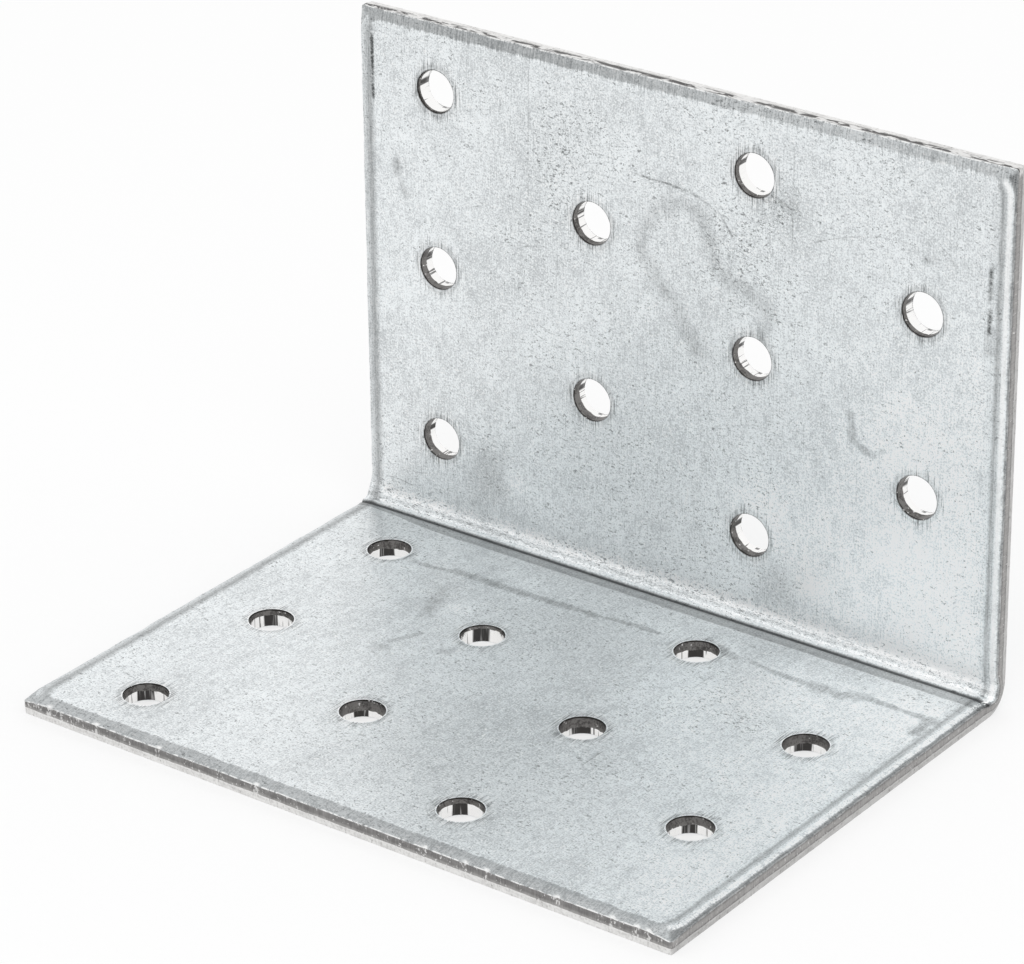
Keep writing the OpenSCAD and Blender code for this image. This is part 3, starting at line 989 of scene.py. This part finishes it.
# Lightness across the bend, as (distance from 8 mm before its start, share of the face's). The dark line
# in the crease is painted shade, the grey pressed band before it is partly painted shade, and the bright
# crest after it is partly a painted highlight
BEND_START = 8.0
BEND_BAND = ((2.0, 1.0), (4.5, 0.89), (5.65, 0.87), (5.75, 0.52), (6.1, 0.50), (6.6, 0.56),
             (7.1, 0.46), (7.22, 0.13), (7.62, 0.13), (7.82, 0.8), (8.0, 1.35), (8.8, 1.25),
             (9.4, 0.95), (9.8, 0.93), (10.3, 1.15), (11.4, 1.25), (11.9, 1.15), (12.8, 1.0))

# Lightness round a hole, as (distance from its land, share of the face's). The dark line by the upright's
# holes is painted shade, and the bright ring by the foot's holes a painted highlight
UPRIGHT_RING = ((0.1, 0.28), (0.18, 0.36), (0.26, 0.84), (0.55, 0.78), (0.8, 1.0))
FOOT_RING = ((0.1, 0.7), (0.13, 1.25), (0.23, 1.25), (0.3, 0.74), (0.6, 0.82), (0.95, 1.0))


def zinc_face(colours):
    """The rolled zinc face, with its shoulders, its bend and its marks, and light and shade painted on
    them.
    """
    f = Finish("zinc_face")
    white, grime = colours.white_zinc_and_highlight, colours.grime
    inner = f.math("LESS_THAN", f.n, 1.0)
    on_foot = f.math("LESS_THAN", f.s, 0.0)
    clouds = f.grain((0.07, 0.06, 0.1), 3.0, 3.0, 0.4)
    patches = f.grain((0.45, 0.3, 0.4), 11.0, 3.0, 0.5)
    mottle = f.grain((1.5, 1.3, 1.5), 23.0, 4.0, 0.8, 0.68)
    lines = f.grain((8.0, 0.3, 0.5), 31.0, 2.0, 0.0, 0.6)
    flecks = f.grain((2.1, 3.9, 4.0), 47.0, 3.0, 1.1, 0.66)
    grit = f.grain((5.4, 5.0, 5.0), 71.0, 1.0)
    dots = f.grain((2.6, 2.2, 3.0), 61.0, 1.0)

    # Light and dull zinc in clouds, patches and rolling lines
    tone = f.plus(f.about(clouds, 0.9, 0.66), f.about(patches, 0.8), f.about(mottle, 1.5),
                  f.about(grit, 2.0), f.about(lines, 1.0))
    colour = f.mix(f.ramp(tone, 0.0, 1.1), colours.zinc_dark, colours.zinc_light)
    # Broad areas made lighter and darker: partly the zinc's own tone and partly painted light and shade
    colour = f.scale(colour, f.plus(f.times(f.lighter, inner), 1.0))

    # Dark flecks and bright ones, in crowds, and a few black specks
    crowd = f.ramp(f.plus(clouds, patches), 0.88, 1.15, 0.0, 0.75)
    crowd = f.math("MAXIMUM", f.plus(crowd, f.flecked), 0.0)
    dull = f.ramp(f.math("MULTIPLY_ADD", crowd, -0.055, flecks), 0.395, 0.305)
    colour = f.mix(f.times(dull, f.math("MULTIPLY_ADD", crowd, 0.24, 0.52)), colour, grime)
    glints = f.ramp(f.math("MULTIPLY_ADD", grit, 0.5, flecks), 0.85, 0.93)
    colour = f.mix(f.times(glints, 0.75), colour, white)
    speck = f.ramp(f.math("MULTIPLY_ADD", crowd, 0.03, dots), 0.75, 0.79)
    colour = f.mix(f.times(speck, 0.75), colour, grime)

    # The shoulders along the ends and the sides, with painted light and shade on the sides, and the top
    # shoulder lighter towards the right
    sway = f.plus(f.about(patches, 0.4), f.about(mottle, 0.55))
    end_gap = f.plus(f.edge, sway, f.about(lines, 0.2), f.blend(on_foot, 0.34, 0.0))
    left = f.math("MAXIMUM", f.times(f.side, -1.0), 0.0)
    right = f.math("MAXIMUM", f.side, 0.0)
    side_gap = f.math("MULTIPLY_ADD", sway, 0.35, f.edge)
    side_gap = f.math("MULTIPLY_ADD", f.times(right, on_foot), -0.16, side_gap)
    top_shoulder_lighter_rightward = f.blend(on_foot, f.ramp(f.x, -20.0, 26.0, 0.86, 1.16), 1.0)
    top_shoulder_lighter_rightward = f.blend(f.ramp(end_gap, 1.35, 1.55), top_shoulder_lighter_rightward, 1.0)
    share = f.times(f.levels(end_gap, 4.0, END_SHOULDER), top_shoulder_lighter_rightward)
    share = f.blend(left, share, f.levels(side_gap, 4.0, LEFT_SHOULDER))
    share = f.blend(right, share, f.levels(side_gap, 4.0, RIGHT_SHOULDER))

    # The bend's bands and the rings round the holes, with painted shade and painted highlights in both
    narrow = f.plus(f.about(patches, 0.5), f.ramp(f.x, -38.0, -27.0, -0.9, 0.0))
    across = f.plus(f.math("MULTIPLY_ADD", narrow, f.ramp(f.s, -0.9, -1.5), f.s), BEND_START)
    bend = f.levels(across, 14.0, BEND_BAND)
    gap = f.plus(f.hole, f.about(mottle, 0.12))
    ring = f.blend(on_foot, f.levels(gap, 2.0, UPRIGHT_RING), f.levels(gap, 2.0, FOOT_RING))
    colour = f.scale(colour, f.blend(inner, 1.0, f.times(share, bend, ring)))

    # Dark flecks in the white fillet, and drag lines by the holes and on the shoulders
    fillet = f.times(f.ramp(f.s, 0.3, 0.6), f.ramp(f.s, 5.0, 2.8), inner)
    cracks = f.times(f.ramp(flecks, 0.50, 0.38), fillet, 0.5)
    colour = f.mix(cracks, colour, grime)
    by_edge = f.times(f.ramp(f.edge, 1.7, 1.3, 0.0, 0.16), f.blend(on_foot, 1.0, 0.4))
    near = f.math("MAXIMUM", f.ramp(f.hole, 1.7, 0.4, 0.0, 0.65), by_edge)
    colour = f.mix(f.times(f.ramp(lines, 0.50, 0.64), near), colour, white)
    colour = f.mix(f.times(f.ramp(lines, 0.46, 0.36), near), colour, grime)

    # Stains and scratches, and one streak of painted shade on the foot
    stain = f.times(f.stain, f.ramp(f.plus(mottle, lines), 0.75, 1.2, 1.2, 0.7))
    colour = f.scale(colour, f.math("MULTIPLY_ADD", stain, -0.36, 1.0))
    broken = f.times(f.scratch, f.ramp(flecks, 0.62, 0.42, 0.35, 1.0))
    colour = f.mix(broken, colour, grime)
    colour = f.mix(f.bright, colour, white)

    # A painted highlight: the rough white ridge along the right side, and the broken white line along each
    # edge's rim
    rubbed = f.blend(on_foot, 0.6, f.ramp(f.plus(mottle, grit), 0.85, 1.1, 0.05, 1.0))
    ridge = f.times(f.ramp(f.edge, 1.0, 0.75), f.ramp(f.edge, 0.3, 0.5), right, rubbed)
    line = f.times(f.ramp(f.rim, 0.13, 0.06), f.ramp(mottle, 0.42, 0.54, 0.0, 0.85))
    line = f.math("MULTIPLY_ADD", f.times(line, right), -0.8, line)
    ridge = f.times(f.math("MAXIMUM", ridge, line), inner)
    colour = f.mix(ridge, colour, white)

    rough = f.plus(f.about(mottle, 0.14, 0.37), f.times(fillet, 0.08))
    coarse = f.times(flecks, f.math("MULTIPLY_ADD", fillet, 3.0, 1.0))
    height = f.math("MULTIPLY_ADD", lines, 0.6, coarse)
    return f.finish(f.capped(colour), rough, height, FACE_GRAIN)


def sheared_steel(colours):
    """The smooth dark zone of a sheared edge, rubbed across by the blade, its darkness partly painted
    reflection.
    """
    f = Finish("sheared_steel")
    streaks = f.grain((5.0, 5.0, 0.6), 5.0, 2.0, 0.0, 0.6)
    patchy = f.grain((0.8, 0.8, 1.6), 15.0, 3.0, 0.5, 0.6)
    flakes = f.grain((3.4, 3.4, 2.2), 25.0, 3.0, 0.0, 0.6)
    dashes = f.grain((0.55, 0.55, 1.6), 35.0, 2.0, 0.3)
    side = f.math("ABSOLUTE", f.side)
    top = f.ramp(f.s, 58.0, 58.8)
    # Lightness down the smooth zone, darkest in the middle rows on the ends and lighter on the sides:
    # partly the bare steel's own tone and partly painted reflection
    share = f.levels(f.n, 2.0, ((0.25, 0.5), (0.42, 0.16), (0.85, 0.12), (1.05, 0.5), (1.2, 0.6)))
    side_share = f.levels(f.n, 2.0, ((0.25, 0.1), (0.45, 0.3), (0.6, 0.62), (0.95, 0.6), (1.15, 0.2)))
    share = f.plus(f.blend(side, share, side_share), f.about(streaks, 0.9), f.about(patchy, 0.9))
    colour = f.mix(f.clamped(share), colours.sheared, colours.rubbed)
    pale = f.times(f.ramp(dashes, 0.50, 0.58, 0.35, 0.9), top)
    colour = f.mix(pale, colour, colours.torn)
    upper = f.times(top, f.between(f.n, 0.45, 1.0, 0.08))
    colour = f.mix(f.times(f.ramp(dashes, 0.52, 0.49), upper, 0.86), colour, colours.dark_steel_and_painted_reflection)
    smear = f.math("MULTIPLY_ADD", f.bright, 0.16, f.times(f.ramp(f.x, -22.0, -34.0), 0.05))
    white = f.ramp(f.plus(flakes, smear), 0.62, 0.68)
    colour = f.mix(f.times(white, 0.7), colour, colours.torn)
    height = f.math("MULTIPLY_ADD", white, 1.6, streaks)
    return f.finish(colour, f.ramp(patchy, 0.3, 0.7, 0.26, 0.42), height, SHEARED_GRAIN)


def torn_steel(colours):
    """The rough pale zone below the tear line of a sheared edge."""
    f = Finish("torn_steel")
    crumbs = f.grain((3.4, 3.4, 2.2), 8.0, 4.0, 0.3, 0.65)
    patchy = f.grain((0.5, 0.5, 1.5), 18.0, 3.0)
    # The sides' torn zone is painted darker than the ends': painted shade
    side = f.math("MULTIPLY_ADD", f.math("ABSOLUTE", f.side), -0.28, 1.0)
    share = f.levels(f.n, 2.0, ((1.1, 0.98), (1.35, 0.95), (1.5, 0.78), (1.75, 0.84), (2.0, 0.8)))
    share = f.plus(share, f.about(crumbs, 1.8), f.about(patchy, 1.2))
    colour = f.mix(f.clamped(share), colours.rubbed, colours.torn)
    pits = f.ramp(crumbs, 0.38, 0.31)
    colour = f.mix(f.times(pits, 0.55), colour, colours.sheared)
    colour = f.scale(colour, side)
    return f.finish(colour, f.ramp(crumbs, 0.3, 0.7, 0.42, 0.6), crumbs, TORN_GRAIN)


def punched_land(colours):
    """The polished zone of a hole, with painted reflections as dark panels, and dark streaks left by the
    punch.
    """
    f = Finish("punched_land")
    streaks = f.grain((3.0, 3.0, 0.15), 6.0, 2.0, 0.0, 0.6)
    wander = f.about(f.grain((1.2, 1.2, 0.1), 36.0, 1.0), 0.5)
    on_foot = f.math("LESS_THAN", f.s, 0.0)
    # Dark panels at fixed angles round each hole, painted reflections: high and low in the upright's
    # holes, towards the left in the foot's
    far = f.plus(f.around_x, wander)
    high = f.plus(f.around_s, wander)
    low = f.times(f.between(f.around_x, -0.12, 0.08, 0.02), f.ramp(f.around_s, 0.0, -0.1),
                  f.ramp(f.n, 1.35, 1.45))
    upright_painted_reflection = f.math("MAXIMUM", f.between(high, 0.04, 0.4), f.times(low, 0.8))
    dark = f.blend(on_foot, upright_painted_reflection, f.between(far, -0.86, -0.34, 0.03))
    dark = f.math("MAXIMUM", dark, f.times(f.ramp(streaks, 0.38, 0.33), 0.8))
    dark = f.times(dark, f.ramp(streaks, 0.68, 0.55, 0.7, 1.0))
    colour = f.mix(f.times(dark, 0.97), colours.land, colours.dark_steel_and_painted_reflection)
    return f.finish(colour, f.ramp(streaks, 0.3, 0.7, 0.2, 0.12), streaks, LAND_GRAIN)


def torn_hole(colours):
    """The dark torn zone of a hole, next to the inner face."""
    f = Finish("torn_hole")
    crumbs = f.grain((5.0, 5.0, 4.0), 9.0, 3.0, 0.3, 0.65)
    broad = f.grain((1.0, 1.0, 1.0), 29.0, 2.0)
    glints = f.ramp(f.grain((2.8, 2.8, 2.8), 39.0, 1.0), 0.70, 0.75)
    pits = f.ramp(f.math("MULTIPLY_ADD", broad, 0.6, crumbs), 0.88, 0.62)
    lip = f.ramp(f.math("MULTIPLY_ADD", broad, 0.3, f.n), 0.32, 0.22)
    dark = f.math("MAXIMUM", f.times(pits, 0.65), f.times(lip, 0.9))
    colour = f.mix(dark, colours.ragged, colours.dark_steel_and_painted_reflection)
    colour = f.mix(f.times(glints, 0.8), colour, colours.land)
    return f.finish(colour, f.ramp(crumbs, 0.3, 0.7, 0.38, 0.55), crumbs, RAGGED_GRAIN)


class BRACKET_OT_sheet(bpy.types.Operator):
    """Make the folded, punched and sheared sheet"""

    bl_idname = "bracket.sheet"
    bl_label = "Folded Sheet"

    def execute(self, context):
        settings = context.scene
        sheet = FlatSheet(settings.bracket_sizes)
        piece = make_object(sheet, build_sheet(sheet), "folded_sheet")
        makers = {FACE: zinc_face, SHEARED: sheared_steel, TORN: torn_steel,
                  LAND: punched_land, RAGGED: torn_hole}
        for surface in sorted(makers):
            piece.data.materials.append(makers[surface](settings.bracket_finish))
        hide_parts(NODE)
        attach(piece, "root")
        return {"FINISHED"}


# The floor's half width in metres, its own glow, and the fill's strength
FLOOR_REACH = 2.0
FLOOR_GLOW = 0.6
FILL_STRENGTH = 0.9

# The key lamp's direction, its distance and width in metres, and its radiance
KEY_LAMP = ((0.3, -0.3, 0.9), 1.0, 0.6, 1.3)

# Width of the camera's sensor, in millimetres
SENSOR_WIDTH = 36.0


def make_floor(studio):
    """A wide pale floor, white to the camera and still taking the shadow."""
    data = bpy.data.meshes.new("floor")
    corners = [(FLOOR_REACH * x, FLOOR_REACH * y, 0) for x, y in ((-1, -1), (1, -1), (1, 1), (-1, 1))]
    data.from_pydata(corners, [], [(0, 1, 2, 3)])
    material = bpy.data.materials.new("pale_floor")
    nodes = Nodes(material)
    matt = nodes.add("ShaderNodeBsdfDiffuse", {"Color": studio.floor})
    glow = nodes.add("ShaderNodeEmission", {"Strength": 1.0})
    share = nodes.times(nodes.seen_or_mirrored(), FLOOR_GLOW)
    nodes.show("ShaderNodeOutputMaterial", share, matt, glow)
    data.materials.append(material)
    put_in_scene("floor", data)


def make_world():
    """Plain white to the camera and in reflections, and a soft pale fill."""
    world = bpy.data.worlds.new("studio")
    bpy.context.scene.world = world
    nodes = Nodes(world)
    white = {"Color": (1, 1, 1), "Strength": 1.0}
    fill = nodes.add("ShaderNodeBackground", {**white, "Strength": FILL_STRENGTH})
    shown = nodes.add("ShaderNodeBackground", white)
    nodes.show("ShaderNodeOutputWorld", nodes.seen_or_mirrored(), fill, shown)


def make_lamp(name, towards, distance, size, radiance):
    """A soft square lamp in one direction from the bracket, facing it."""
    data = bpy.data.lights.new(name, "AREA")
    data.shape = "SQUARE"
    data.size = size
    data.energy = radiance * math.pi * size * size
    lamp = put_in_scene(name, data)
    direction = Vector(towards).normalized()
    lamp.location = direction * distance
    lamp.rotation_euler = direction.to_track_quat("Z", "Y").to_euler()


def make_camera(studio):
    """The camera, aimed by two angles, with a slight roll."""
    data = bpy.data.cameras.new("camera")
    data.sensor_width = SENSOR_WIDTH
    data.lens = studio.lens
    camera = put_in_scene("camera", data)
    round_to, down = studio.azimuth, studio.elevation
    ahead = Vector((-math.sin(round_to) * math.cos(down),
                    math.cos(round_to) * math.cos(down), -math.sin(down)))
    right = ahead.cross(Vector((0, 0, 1))).normalized()
    above = right.cross(ahead)
    leaned_right = math.cos(studio.roll) * right + math.sin(studio.roll) * above
    leaned_above = math.cos(studio.roll) * above - math.sin(studio.roll) * right
    turn = Matrix((leaned_right, leaned_above, -ahead)).transposed().to_4x4()
    eye = Vector(studio.target) - studio.distance * ahead
    camera.matrix_world = Matrix.Translation(eye) @ turn
    bpy.context.scene.camera = camera


class BRACKET_OT_stage(bpy.types.Operator):
    """Make the pale floor, the soft light and the camera"""

    bl_idname = "bracket.stage"
    bl_label = "Studio"

    def execute(self, context):
        studio = context.scene.bracket_studio
        make_floor(studio)
        make_world()
        make_lamp("key_lamp", *KEY_LAMP)
        make_camera(studio)
        context.scene.view_settings.view_transform = "Standard"
        return {"FINISHED"}


class BRACKET_PT_panel(bpy.types.Panel):
    """Buttons that build the bracket and its studio"""

    bl_idname = "BRACKET_PT_panel"
    bl_label = "Angle Bracket"
    bl_space_type = "VIEW_3D"
    bl_region_type = "UI"
    bl_category = "Bracket"

    def draw(self, context):
        layout = self.layout
        for kind in (BRACKET_OT_sheet, BRACKET_OT_stage):
            layout.operator(kind.bl_idname, text=kind.bl_label)
        for title in ("bracket_sizes", "bracket_finish", "bracket_studio"):
            settings = getattr(context.scene, title)
            box = layout.box()
            for name in settings.__annotations__:
                box.prop(settings, name)


CLASSES = (
    BRACKET_PG_sizes, BRACKET_PG_finish, BRACKET_PG_studio,
    BRACKET_OT_sheet, BRACKET_OT_stage, BRACKET_PT_panel,
)


def register():
    """Adds the bracket's settings, operators and panel to Blender."""
    for kind in CLASSES:
        bpy.utils.register_class(kind)
    bpy.types.Scene.bracket_sizes = PointerProperty(type=BRACKET_PG_sizes)
    bpy.types.Scene.bracket_finish = PointerProperty(type=BRACKET_PG_finish)
    bpy.types.Scene.bracket_studio = PointerProperty(type=BRACKET_PG_studio)


def unregister():
    """Takes them away again."""
    del bpy.types.Scene.bracket_sizes
    del bpy.types.Scene.bracket_finish
    del bpy.types.Scene.bracket_studio
    for kind in reversed(CLASSES):
        bpy.utils.unregister_class(kind)


def main():
    """Builds the bracket and its studio."""
    register()
    bpy.ops.bracket.sheet()
    bpy.ops.bracket.stage()


if __name__ == "__main__":
    main()
